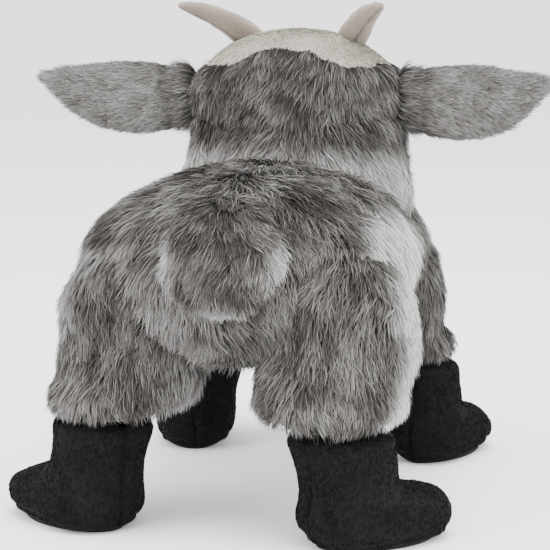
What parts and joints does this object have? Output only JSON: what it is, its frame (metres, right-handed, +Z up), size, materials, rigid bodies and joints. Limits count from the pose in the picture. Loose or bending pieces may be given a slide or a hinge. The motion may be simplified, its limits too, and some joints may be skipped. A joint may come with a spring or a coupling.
{
  "type": "plush goat",
  "caption": "Standing stuffed goat in long grey pile with dark boots, level ears, short suede horns, a pale crown and a broad tail flap.",
  "frame": {"origin": "on the floor, under the middle of the whole goat", "axes": "+Z up, -Y towards the nose, +X towards the goat's own left"},
  "size_m": [0.3324, 0.333, 0.3008],
  "materials": {
    "grey_fur": "long grey pile with pale tips over a darker root, matt",
    "cream_pile": "short cream pile, matt",
    "black_plush": "short black plush, matt",
    "beige_suede": "brushed beige suede cloth, matt",
    "ear_lining": "short dusky pink-beige pile, matt",
    "stuffing": "white polyester wadding",
    "steel_wire": "plain soft steel wire",
    "amber_eye": "glossy amber dome with a dark level pupil",
    "white_plastic": "plain moulded plastic",
    "nose_cloth": "flat dark felt"
  },
  "bodies": {
    "body": {"body_skin": "grey_fur", "belly_panel": "cream_pile", "body_stuffing": "stuffing", "spine_wire": "steel_wire"},
    "head": {"head_skin": "grey_fur", "crown_patch": "cream_pile", "muzzle_skin": "cream_pile", "head_stuffing": "stuffing", "nose": "nose_cloth", "left_eye": "amber_eye", "left_eye_washer": "white_plastic", "left_horn_skin": "beige_suede", "left_horn_stuffing": "stuffing", "right_eye": "amber_eye", "right_eye_washer": "white_plastic", "right_horn_skin": "beige_suede", "right_horn_stuffing": "stuffing"},
    "left_ear": {"left_ear_back": "grey_fur", "left_ear_lining": "ear_lining"},
    "right_ear": {"right_ear_back": "grey_fur", "right_ear_lining": "ear_lining"},
    "tail": {"tail_panel": "grey_fur", "tail_lining": "cream_pile"},
    "left_rear_leg": {"left_rear_leg_skin": "grey_fur", "left_rear_boot": "black_plush", "left_rear_sole": "black_plush", "left_rear_leg_stuffing": "stuffing", "left_rear_leg_wire": "steel_wire"},
    "right_rear_leg": {"right_rear_leg_skin": "grey_fur", "right_rear_boot": "black_plush", "right_rear_sole": "black_plush", "right_rear_leg_stuffing": "stuffing", "right_rear_leg_wire": "steel_wire"},
    "left_front_leg": {"left_front_leg_skin": "grey_fur", "left_front_boot": "black_plush", "left_front_sole": "black_plush", "left_front_leg_stuffing": "stuffing", "left_front_leg_wire": "steel_wire"},
    "right_front_leg": {"right_front_leg_skin": "grey_fur", "right_front_boot": "black_plush", "right_front_sole": "black_plush", "right_front_leg_stuffing": "stuffing", "right_front_leg_wire": "steel_wire"}
  },
  "joints": [
    {"name": "head_turn", "type": "hinge", "parent": "body", "child": "head", "pos_m": [0, -0.04554, 0.19], "axis": [0, 0, 1], "range_deg": [-30, 30]},
    {"name": "left_ear_fold", "type": "hinge", "parent": "head", "child": "left_ear", "pos_m": [0.0682, -0.04462, 0.241], "axis": [0, 0, 1], "range_deg": [-30, 30], "stiffness_Nm_per_rad": 0.02},
    {"name": "right_ear_fold", "type": "hinge", "parent": "head", "child": "right_ear", "pos_m": [-0.0682, -0.04462, 0.241], "axis": [0, 0, 1], "range_deg": [-30, 30], "stiffness_Nm_per_rad": 0.02},
    {"name": "tail_lift", "type": "hinge", "parent": "body", "child": "tail", "pos_m": [0, 0.13442, 0.1885], "axis": [1, 0, 0], "range_deg": [0, 60]},
    {"name": "left_rear_leg_swing", "type": "hinge", "parent": "body", "child": "left_rear_leg", "pos_m": [0.03, 0.10646, 0.1325], "axis": [1, 0, 0], "range_deg": [-15, 15]},
    {"name": "right_rear_leg_swing", "type": "hinge", "parent": "body", "child": "right_rear_leg", "pos_m": [-0.03, 0.10646, 0.1325], "axis": [1, 0, 0], "range_deg": [-15, 15]},
    {"name": "left_front_leg_swing", "type": "hinge", "parent": "body", "child": "left_front_leg", "pos_m": [0.03, -0.07572, 0.1285], "axis": [1, 0, 0], "range_deg": [-15, 15]},
    {"name": "right_front_leg_swing", "type": "hinge", "parent": "body", "child": "right_front_leg", "pos_m": [-0.03, -0.07572, 0.1285], "axis": [1, 0, 0], "range_deg": [-15, 15]}
  ]
}
